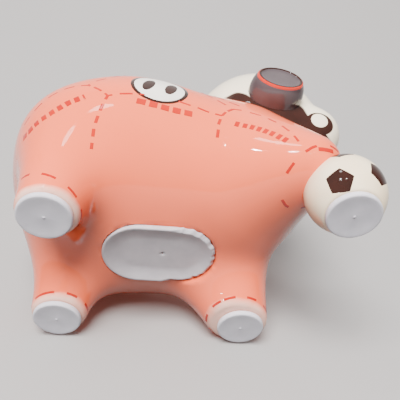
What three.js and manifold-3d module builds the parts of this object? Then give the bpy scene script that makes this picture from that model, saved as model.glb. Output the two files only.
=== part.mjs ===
// A glazed ceramic coin bank in the shape of a standing pig with one front foot on a ball.
// Millimetres, +Z up. The pig walks along +X, its own left is +Y, and its head is turned to
// its right, towards -Y. The pads stand on z = 0. Sizes are written in the pig's own frame,
// whose origin is on the ground midway between the two rear feet; the finished group is
// moved once, so that the origin is under the middle of the whole object.
import * as THREE from 'three';
import Module from 'manifold-3d';
import { mergeVertices } from 'three/addons/utils/BufferGeometryUtils.js';

// ---- driving dimensions -------------------------------------------------------------
const WALL = 4.2;              // thickness of the cast clay wall
const GAP = 0.3;               // room left between pieces that touch
const PAD = { radius: 11, thickness: 2.5, edge: 0.7 };

const TRUNK = { x: 29.6, z: 62.1, halfLength: 60.2, halfWidth: 60.7, halfHeight: 46.5 };
const MELT = 33;               // how softly trunk and legs run into each other
const THIGH_SHARE = 0.72;      // how much of a standing leg the trunk's own skin wraps
const HEART = { forward: 14, down: 2 };   // from the trunk's middle to the point its skin is grown from

const REAR_FOOT = { x: 0, y: 31, radius: 12.2 };
const REAR_HIP = { x: 0.7, y: 30.5, z: 56, radius: 17.6 };
const FRONT_FOOT = { x: 86, y: 31, radius: 13.2 };
const FRONT_HIP = { x: 73.9, y: 23.3, z: 46.1, radius: 26.4 };
const KICK_ANKLE = { x: 106.8, y: -45.2, z: 29.7, radius: 13.5 };
const KICK_HIP = { x: 81.9, y: -18.2, z: 53.9, radius: 36.5 };

const BALL = { x: 119.5, y: -41.8, radius: 16.9, padRadius: 11.2 };
const BALL_VENT = 4.5;         // hole under the ball that lets air out in the kiln

const HEAD = { x: 95, y: -14.5, z: 92.5, halfWidth: 38.5, halfDepth: 40.5, halfHeight: 41 };
const CHEEK = { side: 25.5, forward: 17.5, down: 14, radius: 15, melt: 8 };
const NECK_PASSAGE = 11;       // radius of the way from the trunk's hollow into the head

const SNOUT = { length: 12.5, root: 8, baseRadius: 15.5, tipRadius: 11.9, rim: 1.4, dish: 0.9, flat: 0.82 };
const SNOUT_SEAT = { x: 2.8, inset: 5.5, z: -9.6 };   // its base: inset behind the face, x and z from the head's middle
const SNOUT_AIM = [0.09, -1, -0.1];

const EAR = { side: 19, back: 9, inset: 6, length: 25, width: 12.5, thickness: 3.4, splay: 0.38, lean: 0.5 };
const TAIL = { up: 33, wire: 3.1, reach: 9, curl: 7, rise: 9 };

const COIN_SLOT = { x: 33, length: 34, width: 4.6 };
const PLUG = { x: 45, y: 1.1, length: 52, width: 33.5, flange: 2.6, face: 15.2, rim: 2.4, dish: 1.7 };
const PLUG_HOLE = { length: 43, width: 25 };
const PLUG_NECK = { wall: 2.2, depth: 9.5 };

// ---- colours of the fired glazes and of the soft fittings ------------------------------
const pinkGlaze = new THREE.MeshStandardMaterial({ color: 0xf0ad98, roughness: 0.14 });
const whiteGlaze = new THREE.MeshStandardMaterial({ color: 0xefe9dc, roughness: 0.12 });
const silverGlaze = new THREE.MeshStandardMaterial({ color: 0x8f8488, roughness: 0.2 });
const ivoryGlaze = new THREE.MeshStandardMaterial({ color: 0xf1e9d9, roughness: 0.12 });
const softPvc = new THREE.MeshStandardMaterial({ color: 0xc9c7cc, roughness: 0.5 });

// ---- solids: closed three.js shapes, joined and cut with manifold ----------------------
const wasm = await Module();
wasm.setup();

function toSolid(geometry) {
  const bare = geometry.index ? geometry.toNonIndexed() : geometry.clone();
  bare.deleteAttribute('normal');
  bare.deleteAttribute('uv');
  const merged = mergeVertices(bare, 1e-4);
  return new wasm.Manifold(new wasm.Mesh({
    numProp: 3,
    vertProperties: new Float32Array(merged.attributes.position.array),
    triVerts: new Uint32Array(merged.index.array),
  }));
}

function toMesh(solid, name, material) {
  const data = solid.getMesh();
  const geometry = new THREE.BufferGeometry();
  geometry.setAttribute('position', new THREE.BufferAttribute(data.vertProperties, 3));
  geometry.setIndex(new THREE.BufferAttribute(data.triVerts, 1));
  geometry.computeVertexNormals();
  const mesh = new THREE.Mesh(geometry, material);
  mesh.name = name;
  return mesh;
}

function boxSolid(low, high) {
  const box = new THREE.BoxGeometry(high[0] - low[0], high[1] - low[1], high[2] - low[2]);
  box.translate((low[0] + high[0]) / 2, (low[1] + high[1]) / 2, (low[2] + high[2]) / 2);
  return toSolid(box);
}

// A turned shape whose axis runs from one point towards another; profile = [radius, along].
function turnedSolid(profile, from, towards, sides) {
  const lathe = new THREE.LatheGeometry(profile.map(([r, h]) => new THREE.Vector2(r, h)), sides);
  const aim = new THREE.Vector3().subVectors(towards, from).normalize();
  lathe.applyQuaternion(new THREE.Quaternion().setFromUnitVectors(new THREE.Vector3(0, 1, 0), aim));
  lathe.translate(from.x, from.y, from.z);
  return toSolid(lathe);
}

// ---- the rule of the pig's form: how far a point is outside the surface ----------------
function ellipsoidDistance(p, middle, half) {
  const q = new THREE.Vector3().subVectors(p, middle);
  const scaled = q.clone().divide(half).length();
  const slope = q.clone().divide(half).divide(half).length();
  return scaled * (scaled - 1) / Math.max(slope, 1e-9);
}

function roundConeDistance(p, a, b, radiusA, radiusB) {
  const axis = new THREE.Vector3().subVectors(b, a);
  const length = axis.length();
  const lean = (radiusA - radiusB) / length;
  const side = Math.sqrt(1 - lean * lean);
  const q = new THREE.Vector3().subVectors(p, a);
  const along = q.dot(axis) / length;
  const across = Math.sqrt(Math.max(q.lengthSq() - along * along, 0));
  const along2 = along * side - across * lean;
  if (along2 < 0) return q.length() - radiusA;
  if (along2 > length * side) return p.distanceTo(b) - radiusB;
  return across * side + along * lean - radiusA;
}

function meltTogether(a, b, reach) {
  const h = Math.max(reach - Math.abs(a - b), 0) / reach;
  return Math.min(a, b) - h * h * h * reach / 6;
}

const at = (x, y, z) => new THREE.Vector3(x, y, z);
const trunkMiddle = at(TRUNK.x, 0, TRUNK.z);
const trunkHalf = at(TRUNK.halfLength, TRUNK.halfWidth, TRUNK.halfHeight);
const soleHeight = PAD.thickness + GAP;

const legs = [
  { foot: at(REAR_FOOT.x, -REAR_FOOT.y, soleHeight), hip: at(REAR_HIP.x, -REAR_HIP.y, REAR_HIP.z),
    footRadius: REAR_FOOT.radius, hipRadius: REAR_HIP.radius, wrapped: THIGH_SHARE },
  { foot: at(REAR_FOOT.x, REAR_FOOT.y, soleHeight), hip: at(REAR_HIP.x, REAR_HIP.y, REAR_HIP.z),
    footRadius: REAR_FOOT.radius, hipRadius: REAR_HIP.radius, wrapped: THIGH_SHARE },
  { foot: at(FRONT_FOOT.x, FRONT_FOOT.y, soleHeight), hip: at(FRONT_HIP.x, FRONT_HIP.y, FRONT_HIP.z),
    footRadius: FRONT_FOOT.radius, hipRadius: FRONT_HIP.radius, wrapped: THIGH_SHARE },
  { foot: at(KICK_ANKLE.x, KICK_ANKLE.y, KICK_ANKLE.z), hip: at(KICK_HIP.x, KICK_HIP.y, KICK_HIP.z),
    footRadius: KICK_ANKLE.radius, hipRadius: KICK_HIP.radius, wrapped: 1 },
];

function torsoDistance(p) {
  let distance = ellipsoidDistance(p, trunkMiddle, trunkHalf);
  for (const leg of legs) {
    const end = leg.hip.clone().lerp(leg.foot, leg.wrapped);
    const endRadius = leg.hipRadius + (leg.footRadius - leg.hipRadius) * leg.wrapped;
    const own = roundConeDistance(p, leg.hip, end, leg.hipRadius, endRadius);
    distance = meltTogether(distance, own, MELT);
  }
  return distance;
}

const headMiddle = at(HEAD.x, HEAD.y, HEAD.z);
const headHalf = at(HEAD.halfWidth, HEAD.halfDepth, HEAD.halfHeight);
const cheekMiddles = [-1, 1].map((side) => headMiddle.clone().add(
  at(side * CHEEK.side, -CHEEK.forward, -CHEEK.down)));

function headDistance(p) {
  let distance = ellipsoidDistance(p, headMiddle, headHalf);
  for (const cheek of cheekMiddles) {
    distance = meltTogether(distance, p.distanceTo(cheek) - CHEEK.radius, CHEEK.melt);
  }
  return distance;
}

// A ball of vertices, each pushed out from the middle until the rule says "offset".
function grownFrom(middle, rule, offset, around, down) {
  const STEP = 1.5;
  const sphere = new THREE.SphereGeometry(1, around, down);
  sphere.rotateX(Math.PI / 2);
  const position = sphere.attributes.position;
  const direction = new THREE.Vector3();
  const point = new THREE.Vector3();
  for (let i = 0; i < position.count; i += 1) {
    direction.fromBufferAttribute(position, i).normalize();
    const value = (t) => rule(point.copy(middle).addScaledVector(direction, t)) - offset;
    let far = STEP;
    while (value(far) < 0) far += STEP;
    let near = far - STEP;
    for (let halving = 0; halving < 14; halving += 1) {
      const half = (near + far) / 2;
      if (value(half) < 0) near = half;
      else far = half;
    }
    value(far);
    position.setXYZ(i, point.x, point.y, point.z);
  }
  return toSolid(sphere);
}

// ---- trunk and legs ------------------------------------------------------------------
const trunkHeart = at(TRUNK.x + HEART.forward, 0, TRUNK.z - HEART.down);

const SOLE_SPARE = 6;          // a leg is turned this much too long, then cut level

function torsoForm(offset, around, down) {
  let form = grownFrom(trunkHeart, torsoDistance, offset, around, down);
  for (const leg of legs) {
    const length = leg.foot.distanceTo(leg.hip);
    const profile = [[0, -SOLE_SPARE], [leg.footRadius + offset, -SOLE_SPARE]];
    const STEPS = 3;
    for (let i = 1; i <= STEPS; i += 1) {
      const share = i / STEPS;
      profile.push([leg.footRadius + (leg.hipRadius - leg.footRadius) * share ** 1.3 + offset, length * share]);
    }
    profile.push([0, length]);
    form = form.add(turnedSolid(profile, leg.foot, leg.hip, 20));
  }
  const below = boxSolid([-200, -200, -200], [300, 200, soleHeight - offset]);
  return form.subtract(below);
}

// A long outline with round ends, standing on z = low.
function roundEndedSolid(length, width, low, high, taper = 0) {
  const radius = width / 2;
  const reach = (length - width) / 2;
  const outline = new THREE.Shape();
  outline.absarc(reach, 0, radius, -Math.PI / 2, Math.PI / 2, false);
  outline.absarc(-reach, 0, radius, Math.PI / 2, Math.PI * 1.5, false);
  outline.closePath();
  const bevel = taper > 0
    ? { bevelEnabled: true, bevelThickness: taper, bevelSize: taper, bevelOffset: -taper, bevelSegments: 2 }
    : { bevelEnabled: false };
  const block = new THREE.ExtrudeGeometry(outline, { depth: high - low - 2 * taper, curveSegments: 9, ...bevel });
  block.translate(PLUG.x, PLUG.y, low + taper);
  return toSolid(block);
}

const seatHeight = PLUG.face + PLUG.flange + GAP;
const slotLow = TRUNK.z;
const slotHigh = TRUNK.z + TRUNK.halfHeight * 1.5;

let torso = torsoForm(0, 40, 26);
torso = torso.subtract(grownFrom(trunkHeart, torsoDistance, -WALL, 24, 14));
torso = torso.subtract(boxSolid(
  [COIN_SLOT.x - COIN_SLOT.length / 2, -COIN_SLOT.width / 2, slotLow],
  [COIN_SLOT.x + COIN_SLOT.length / 2, COIN_SLOT.width / 2, slotHigh]));
torso = torso.subtract(roundEndedSolid(PLUG.length + 2 * GAP, PLUG.width + 2 * GAP, 0, seatHeight));
torso = torso.subtract(roundEndedSolid(PLUG_HOLE.length, PLUG_HOLE.width, 0, TRUNK.z));

// ---- head, with its way through to the trunk's hollow -----------------------------------
const neckPath = new THREE.Vector3().subVectors(trunkHeart, headMiddle);
const neckLength = neckPath.length();
const neckTool = turnedSolid(
  [[0, 0], [NECK_PASSAGE, 0], [NECK_PASSAGE, neckLength * 0.8], [0, neckLength * 0.8]],
  headMiddle, trunkHeart, 20);

const headForm = grownFrom(headMiddle, headDistance, 0, 28, 18);
const headGrown = grownFrom(headMiddle, headDistance, GAP, 28, 18);
const torsoGrown = torsoForm(GAP, 40, 26);
torso = torso.subtract(neckTool);
const headHollow = grownFrom(headMiddle, headDistance, -WALL, 20, 12);
const head = headForm.subtract(torsoGrown).subtract(headHollow.subtract(torsoForm(WALL, 40, 26)))
  .subtract(neckTool);

// ---- snout: an oval drum, flatter than it is wide -----------------------------------------
const snoutBase = headMiddle.clone().add(at(SNOUT_SEAT.x, SNOUT_SEAT.inset - HEAD.halfDepth, SNOUT_SEAT.z));
const snoutAim = at(...SNOUT_AIM).normalize();
const snoutSide = new THREE.Vector3().crossVectors(snoutAim, at(0, 0, 1)).normalize();
const snoutUp = new THREE.Vector3().crossVectors(snoutSide, snoutAim);
const rimRadius = SNOUT.tipRadius - SNOUT.rim;
const swell = SNOUT.baseRadius - SNOUT.tipRadius;
const drum = new THREE.LatheGeometry([
  [0, -SNOUT.root], [SNOUT.baseRadius, -SNOUT.root], [SNOUT.baseRadius, SNOUT.length * 0.2],
  [SNOUT.baseRadius - 0.15 * swell, SNOUT.length * 0.45], [SNOUT.baseRadius - 0.5 * swell, SNOUT.length * 0.7],
  [SNOUT.tipRadius, SNOUT.length - SNOUT.rim], [SNOUT.tipRadius - 0.4 * SNOUT.rim, SNOUT.length - 0.3 * SNOUT.rim],
  [rimRadius, SNOUT.length], [rimRadius - SNOUT.rim, SNOUT.length - SNOUT.dish], [0, SNOUT.length - SNOUT.dish],
].map(([r, h]) => new THREE.Vector2(r, h)), 24);
drum.scale(1, 1, SNOUT.flat);
drum.applyMatrix4(new THREE.Matrix4().makeBasis(snoutSide, snoutAim, snoutUp).setPosition(snoutBase));
const snout = toSolid(drum).subtract(headGrown).subtract(torsoGrown);

// ---- ears: flattened cones leaning back from the crown --------------------------------
function earSolid(side) {
  const cone = new THREE.LatheGeometry([
    [0, -9], [EAR.width * 0.8, -9], [EAR.width, 0], [EAR.width * 0.92, EAR.length * 0.3],
    [EAR.width * 0.66, EAR.length * 0.62], [EAR.width * 0.3, EAR.length * 0.9], [0, EAR.length],
  ].map(([r, h]) => new THREE.Vector2(r, h)), 20);
  cone.scale(1, 1, EAR.thickness / EAR.width);
  cone.rotateX(Math.PI / 2);
  cone.rotateX(-EAR.lean);
  cone.rotateY(side * EAR.splay);
  cone.translate(headMiddle.x + side * EAR.side, headMiddle.y + EAR.back, headMiddle.z + HEAD.halfHeight - EAR.inset);
  return toSolid(cone).subtract(headGrown);
}

// ---- tail: a short rolled curl pressed on the rump ------------------------------------------
const TAIL_PATH = new THREE.CatmullRomCurve3([
  at(4, 0, 0), at(-TAIL.reach * 0.5, 0, TAIL.rise * 0.1), at(-TAIL.reach, TAIL.curl * 0.5, TAIL.rise * 0.6),
  at(-TAIL.reach * 0.9, TAIL.curl * 1.3, TAIL.rise), at(-TAIL.reach * 0.75, TAIL.curl * 1.5, TAIL.rise * 0.2),
]);

const tailHeight = TRUNK.z + TAIL.up;
const tailReach = Math.sqrt(Math.max(1 - (TAIL.up / TRUNK.halfHeight) ** 2, 0)) * TRUNK.halfLength;
const tailSection = new THREE.Shape();
tailSection.absarc(0, 0, TAIL.wire, 0, Math.PI * 2, false);
const tailBar = new THREE.ExtrudeGeometry(tailSection, { steps: 16, curveSegments: 5, extrudePath: TAIL_PATH });
tailBar.translate(TRUNK.x - tailReach, 0, tailHeight);
const tail = toSolid(tailBar).subtract(torsoGrown);

// ---- ball under the raised front foot ---------------------------------------------------
const ballMiddle = at(BALL.x, BALL.y, soleHeight + Math.sqrt(BALL.radius ** 2 - (BALL.padRadius + 0.6) ** 2));
const ballForm = new THREE.SphereGeometry(BALL.radius, 24, 16);
ballForm.translate(ballMiddle.x, ballMiddle.y, ballMiddle.z);
const ballHollow = new THREE.SphereGeometry(BALL.radius - WALL, 12, 8);
ballHollow.translate(ballMiddle.x, ballMiddle.y, ballMiddle.z);
const ballVent = turnedSolid(
  [[0, 0], [BALL_VENT / 2, 0], [BALL_VENT / 2, ballMiddle.z], [0, ballMiddle.z]],
  at(BALL.x, BALL.y, 0), ballMiddle, 10);
const ball = toSolid(ballForm).subtract(boxSolid([0, -100, -100], [200, 100, soleHeight]))
  .subtract(torsoGrown).subtract(toSolid(ballHollow).subtract(torsoForm(WALL, 40, 26))).subtract(ballVent);

// ---- soft fittings: belly plug and pads ---------------------------------------------------
const neckOuter = { length: PLUG_HOLE.length - 2 * GAP, width: PLUG_HOLE.width - 2 * GAP };
const dishTool = new THREE.SphereGeometry(1, 20, 8);
dishTool.scale(PLUG.length / 2 - PLUG.rim, PLUG.width / 2 - PLUG.rim, PLUG.dish);
dishTool.translate(PLUG.x, PLUG.y, PLUG.face);
const plug = roundEndedSolid(PLUG.length, PLUG.width, PLUG.face, PLUG.face + PLUG.flange, 0.6)
  .add(roundEndedSolid(neckOuter.length, neckOuter.width, PLUG.face + PLUG.flange / 2,
    PLUG.face + PLUG.flange + PLUG_NECK.depth)
    .subtract(roundEndedSolid(neckOuter.length - 2 * PLUG_NECK.wall, neckOuter.width - 2 * PLUG_NECK.wall,
      PLUG.face + PLUG.flange, PLUG.face + PLUG.flange + PLUG_NECK.depth + 1)))
  .subtract(toSolid(dishTool));

function padSolid(x, y, radius) {
  const { thickness, edge } = PAD;
  return turnedSolid([
    [0, 0], [radius - edge, 0], [radius - edge * 0.3, edge * 0.3], [radius, edge],
    [radius, thickness - edge * 0.5], [radius - edge * 0.5, thickness], [0, thickness],
  ], at(x, y, 0), at(x, y, 1), 20);
}

// ---- the assembly -------------------------------------------------------------------------
const group = new THREE.Group();
group.name = 'pig_coin_bank';
group.add(toMesh(torso, 'torso_casting', pinkGlaze));
group.add(toMesh(head, 'head_casting', whiteGlaze));
group.add(toMesh(snout, 'snout', silverGlaze));
group.add(toMesh(earSolid(-1), 'ear_right', whiteGlaze));
group.add(toMesh(earSolid(1), 'ear_left', whiteGlaze));
group.add(toMesh(tail, 'tail', pinkGlaze));
group.add(toMesh(ball, 'ball_casting', ivoryGlaze));
group.add(toMesh(plug, 'belly_plug', softPvc));
group.add(toMesh(padSolid(REAR_FOOT.x, -REAR_FOOT.y, PAD.radius), 'foot_pad_rear_right', softPvc));
group.add(toMesh(padSolid(REAR_FOOT.x, REAR_FOOT.y, PAD.radius), 'foot_pad_rear_left', softPvc));
group.add(toMesh(padSolid(FRONT_FOOT.x, FRONT_FOOT.y, PAD.radius), 'foot_pad_front_left', softPvc));
group.add(toMesh(padSolid(BALL.x, BALL.y, BALL.padRadius), 'ball_pad', softPvc));

const bounds = new THREE.Box3().setFromObject(group);
const middle = bounds.getCenter(new THREE.Vector3());
group.position.set(-middle.x, -middle.y, 0);

export default group;
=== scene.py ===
# %% [markdown]
# # A glazed pig with one foot on a ball
#
# The real object is a slip-cast coin bank: liquid clay is poured into a plaster mould, a skin of
# clay about 4 mm thick sets against the plaster, and the rest is poured out. The parts are luted
# together, airbrushed pink, painted with a brush, dipped in clear glaze and fired. So nothing on it
# is sharp: every form melts into the next one, and the gloss shows every swelling.
#
# This script loads the fixed frame first and keeps its box, because the looks must stay inside it.

# %% load the frame
import math

import bmesh
import bpy
import numpy as np
from mathutils import Matrix, Vector


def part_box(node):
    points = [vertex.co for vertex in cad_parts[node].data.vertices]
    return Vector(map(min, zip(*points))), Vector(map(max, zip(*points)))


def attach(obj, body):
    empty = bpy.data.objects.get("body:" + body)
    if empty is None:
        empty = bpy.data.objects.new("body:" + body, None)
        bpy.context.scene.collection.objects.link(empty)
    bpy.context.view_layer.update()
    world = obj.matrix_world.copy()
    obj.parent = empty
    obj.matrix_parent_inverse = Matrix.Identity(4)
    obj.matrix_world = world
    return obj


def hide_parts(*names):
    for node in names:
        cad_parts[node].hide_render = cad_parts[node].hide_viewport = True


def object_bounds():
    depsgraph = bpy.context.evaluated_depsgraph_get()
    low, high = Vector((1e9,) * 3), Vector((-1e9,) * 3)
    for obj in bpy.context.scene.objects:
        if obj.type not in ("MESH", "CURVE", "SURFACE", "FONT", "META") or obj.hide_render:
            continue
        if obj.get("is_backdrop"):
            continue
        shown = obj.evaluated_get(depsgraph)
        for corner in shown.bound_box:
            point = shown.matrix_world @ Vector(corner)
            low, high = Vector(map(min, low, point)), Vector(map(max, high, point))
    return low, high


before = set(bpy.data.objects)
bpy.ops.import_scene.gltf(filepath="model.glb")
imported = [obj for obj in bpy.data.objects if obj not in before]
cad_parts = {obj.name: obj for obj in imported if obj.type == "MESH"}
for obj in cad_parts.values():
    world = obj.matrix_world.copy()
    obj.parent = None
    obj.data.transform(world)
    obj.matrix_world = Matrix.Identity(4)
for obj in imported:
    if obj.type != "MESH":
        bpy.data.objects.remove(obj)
CAD_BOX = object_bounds()
MM = 0.001

# %% [markdown]
# ## The pig's own frame
#
# A modeller measures a pig from its feet. All sizes below are in millimetres from the point on the
# ground midway between the two rear feet: x runs towards the head, y to the pig's left and z up.
# That point, and every place that the frame knows, is read from the frame's boxes.

# %% where things are, from the frame
def box_mm(node):
    """The lowest corner, the highest corner and the middle of a node, in mm from the row's origin."""
    low, high = (np.array(corner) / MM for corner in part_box(node))
    return low, high, (low + high) / 2


rear_right, rear_left = box_mm("foot_pad_rear_right"), box_mm("foot_pad_rear_left")
ORIGIN = np.array([*((rear_right[2] + rear_left[2]) / 2)[:2], 0.0])


def own_box(node):
    """The same three corners, counted from the pig's own origin."""
    return [corner - ORIGIN for corner in box_mm(node)]


front_pad = own_box("foot_pad_front_left")
head_low, head_high, _ = own_box("head_casting")
ball_low, ball_high, ball_mid = own_box("ball_casting")
plug_low, plug_high, plug_mid = own_box("belly_plug")
SOLE = front_pad[1][2] + 0.3
print("origin", ORIGIN.round(2), "sole height", round(float(SOLE), 2))

# %% [markdown]
# ## The form as a rule
#
# A mould maker builds a body from a few swellings and smooths clay between them. The same can be
# done with distances: each swelling says how far a point is outside it, and `melt` takes the
# smaller distance but rounds the corner where two of them meet. Subdivision surfaces could do it
# too, but a rule gives exact, even fillets and a wall of one thickness for free.

# %% distances
def ellipsoid(p, middle, half):
    q = (p - middle) / half
    scaled = np.linalg.norm(q, axis=-1)
    slope = np.linalg.norm(q / half, axis=-1) + 1e-9
    return scaled * (scaled - 1) / slope


def ball_form(p, middle, radius):
    return np.linalg.norm(p - middle, axis=-1) - radius


def round_cone(p, start, end, start_radius, end_radius):
    axis = end - start
    length = np.linalg.norm(axis)
    lean = (start_radius - end_radius) / length
    side = math.sqrt(1 - lean * lean)
    q = p - start
    along = q @ axis / length
    across = np.sqrt(np.maximum((q * q).sum(-1) - along * along, 0))
    turned = along * side - across * lean
    distance = across * side + along * lean - start_radius
    distance = np.where(turned < 0, np.linalg.norm(q, axis=-1) - start_radius, distance)
    return np.where(turned > length * side, np.linalg.norm(p - end, axis=-1) - end_radius, distance)


def melt(a, b, reach):
    h = np.maximum(reach - np.abs(a - b), 0) / reach
    return np.minimum(a, b) - h * h * h * reach / 6


def carve(a, tool, reach):
    """What is left of a outside tool, with the edge rounded over about a third of reach."""
    return -melt(-a, tool, reach)


def round_ended(p, middle, length, width):
    """Distance from a long outline with round ends, seen from above."""
    reach = (length - width) / 2
    x = np.abs(p[..., 0] - middle[0]) - reach
    return np.hypot(np.maximum(x, 0), p[..., 1] - middle[1]) - width / 2


def v(*numbers):
    return np.array(numbers, float)


# %% trunk and legs
TRUNK_MID, TRUNK_HALF = v(29.6, 0, 62.1), v(60.2, 60.7, 46.5)
MELT, WALL = 33.0, 4.2
REAR_Y = (rear_left[2] - rear_right[2])[1] / 2
KICK_HIP, KICK_ANKLE = v(81.9, -18.2, 53.9), v(106.8, -45.2, 29.7)
LEGS = {
    "rear_right": (v(0.7, -REAR_Y + 0.5, 56), v(0, -REAR_Y, SOLE), 17.6, 12.2),
    "rear_left": (v(0.7, REAR_Y - 0.5, 56), v(0, REAR_Y, SOLE), 17.6, 12.2),
    "front_left": (v(73.9, 23.3, 46.1), v(*front_pad[2][:2], SOLE), 26.4, 13.2),
    "kicking": (KICK_HIP, KICK_ANKLE, 36.5, 13.5),
}


def torso_rule(p):
    distance = ellipsoid(p, TRUNK_MID, TRUNK_HALF)
    for hip, foot, hip_radius, foot_radius in LEGS.values():
        distance = melt(distance, round_cone(p, hip, foot, hip_radius, foot_radius), MELT)
    return distance


# %% coin slot, plug seat and hollow
SLOT_MID, SLOT_LENGTH, SLOT_WIDTH = v(33, 0), 34.0, 4.6
PLUG_LENGTH, PLUG_WIDTH = (plug_high - plug_low)[:2]
PLUG_FACE, FLANGE = plug_low[2], 2.6
SEAT = PLUG_FACE + FLANGE + 0.3
SEAT_PLAY = 0.1      # how much longer and wider the seat is than the plug
HOLE_LENGTH, HOLE_WIDTH = 43.0, 25.0


def torso_shell(p):
    outside = torso_rule(p)
    hollow = np.maximum(outside + WALL, SOLE + WALL - p[..., 2])
    shell = np.maximum(outside, -hollow)
    x = np.abs(p[..., 0] - SLOT_MID[0]) - SLOT_LENGTH / 2
    y = np.abs(p[..., 1] - SLOT_MID[1]) - SLOT_WIDTH / 2
    slot = np.maximum(np.maximum(x, y), TRUNK_MID[2] - p[..., 2])
    shell = carve(shell, slot, 3.0)
    recess = round_ended(p, plug_mid, PLUG_LENGTH + SEAT_PLAY, PLUG_WIDTH + SEAT_PLAY)
    seat = np.maximum(recess, p[..., 2] - SEAT)
    shell = carve(shell, seat, 0.5)
    hole = np.maximum(round_ended(p, plug_mid, HOLE_LENGTH, HOLE_WIDTH), p[..., 2] - TRUNK_MID[2])
    shell = np.maximum(shell, -hole)
    return -melt(-shell, p[..., 2] - SOLE, 3.0)


# %% [markdown]
# ## Turning a rule into a mesh
#
# The rule is sampled on a grid of small cells. Each cell that the surface passes through gets one
# point, and neighbouring points are joined into four-sided faces ("surface nets"). Then every point
# slides along the slope of the rule until it lies exactly on the form, so the grid doesn't show.

# %% surface nets
CORNERS = [(i, j, k) for i in (0, 1) for j in (0, 1) for k in (0, 1)]


def slope(rule, p, step=0.05):
    rows = [rule(p + np.eye(3)[i] * step) - rule(p - np.eye(3)[i] * step) for i in range(3)]
    return np.stack(rows, -1) / (2 * step)


def settle(rule, p, rounds=4, limit=1.5):
    """Slides points along the rule's slope onto its surface."""
    for _ in range(rounds):
        g = slope(rule, p)
        move = rule(p)[:, None] * g / ((g * g).sum(-1, keepdims=True) + 1e-9)
        size = np.linalg.norm(move, axis=-1, keepdims=True) + 1e-9
        p = p - move * np.minimum(1, limit / size)
    return p


def surface_net(rule, low, high, cell):
    axes = [np.arange(a, b + cell, cell) for a, b in zip(low, high)]
    shape = [len(a) for a in axes]
    value = np.empty(shape)
    for i, x in enumerate(axes[0]):
        y, z = np.meshgrid(axes[1], axes[2], indexing="ij")
        value[i] = rule(np.stack([np.full_like(y, x), y, z], -1))
    value[np.abs(value) < 1e-6] = 1e-6
    inside = value < 0
    cells = tuple(n - 1 for n in shape)
    corner = [inside[i:i + cells[0], j:j + cells[1], k:k + cells[2]] for i, j, k in CORNERS]
    count = sum(c.astype(int) for c in corner)
    used = (count > 0) & (count < 8)
    number = np.full(cells, -1)
    number[used] = np.arange(used.sum())
    at = np.stack(np.nonzero(used), -1)
    total, crossings = np.zeros((len(at), 3)), np.zeros(len(at))
    for a in CORNERS:
        for d in range(3):
            if a[d]:
                continue
            b = tuple(a[m] + (m == d) for m in range(3))
            va, vb = (value[tuple((at + c).T)] for c in (a, b))
            cut = (va < 0) != (vb < 0)
            share = np.where(cut, va / np.where(cut, va - vb, 1), 0)
            point = at + a + np.eye(3)[d] * share[:, None]
            total += np.where(cut[:, None], point, 0)
            crossings += cut
    points = np.array([a[0] for a in axes]) + total / crossings[:, None] * cell
    faces = []
    for d in range(3):
        e, f = (d + 1) % 3, (d + 2) % 3
        start = [slice(1, n - 1) for n in shape]
        stop = list(start)
        start[d], stop[d] = slice(0, shape[d] - 1), slice(1, shape[d])
        one, two = inside[tuple(start)], inside[tuple(stop)]
        edge = np.stack(np.nonzero(one != two), -1)
        outward = one[one != two]
        base = edge.copy()
        base[:, e] += 1
        base[:, f] += 1
        unit_e, unit_f = np.eye(3, dtype=int)[e], np.eye(3, dtype=int)[f]
        ring = [base - unit_e - unit_f, base - unit_f, base, base - unit_e]
        quad = np.stack([number[tuple(r.T)] for r in ring], -1)
        faces.append(np.where(outward[:, None], quad, quad[:, ::-1]))
    return settle(rule, points), np.concatenate(faces)


def placed(points_mm):
    """From the pig's own millimetres to the frame's metres."""
    return (np.asarray(points_mm) + ORIGIN) * MM


def add_object(name, points_mm, faces, material=None, smooth=True):
    mesh = bpy.data.meshes.new(name)
    mesh.from_pydata(placed(points_mm).tolist(), [], [list(map(int, f)) for f in faces])
    mesh.update()
    mesh.polygons.foreach_set("use_smooth", [smooth] * len(mesh.polygons))
    piece = bpy.data.objects.new(name, mesh)
    bpy.context.scene.collection.objects.link(piece)
    if material:
        mesh.materials.append(material)
    return piece


def declare(piece, slot, node=None, body="pig"):
    """Says which body a piece rides on and which solid it stands in for; slot is not used."""
    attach(piece, body)
    if node:
        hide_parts(node)


def keep_edges_over(piece, degrees):
    piece.data.set_sharp_from_angle(angle=math.radians(degrees))


# %% [markdown]
# ## Colours and the node helper
#
# Paint is chosen as sRGB hex, because that is what a swatch book and a colour picker give. Shaders
# count in linear light, so one function turns one into the other.

# %% colour and node helpers
def linear(hex_colour):
    parts = [int(hex_colour[i:i + 2], 16) / 255 for i in (1, 3, 5)]
    return tuple(c / 12.92 if c <= 0.04045 else ((c + 0.055) / 1.055) ** 2.4 for c in parts) + (1.0,)


def add_node(tree, kind, settings=None, inputs=None):
    """Adds one node; inputs maps a socket's name or number to a value or to another node's output."""
    node = tree.nodes.new(kind)
    for key, value in (settings or {}).items():
        setattr(node, key, value)
    for key, value in (inputs or {}).items():
        if isinstance(value, bpy.types.NodeSocket):
            tree.links.new(value, node.inputs[key])
        else:
            node.inputs[key].default_value = value
    return node


def new_material(name, roughness, coat, ior=1.5, coat_roughness=0.03):
    material = bpy.data.materials.new(name)
    material.use_nodes = True
    tree = material.node_tree
    shader = tree.nodes["Principled BSDF"]
    shader.inputs["Roughness"].default_value = roughness
    shader.inputs["IOR"].default_value = ior
    shader.inputs["Coat Weight"].default_value = coat
    if coat == 1.0:
        shader.inputs["Specular IOR Level"].default_value = 0.0
    shader.inputs["Coat Roughness"].default_value = coat_roughness
    place = tree.nodes.new("ShaderNodeTexCoord").outputs["Object"]
    return material, tree, shader, place


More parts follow.
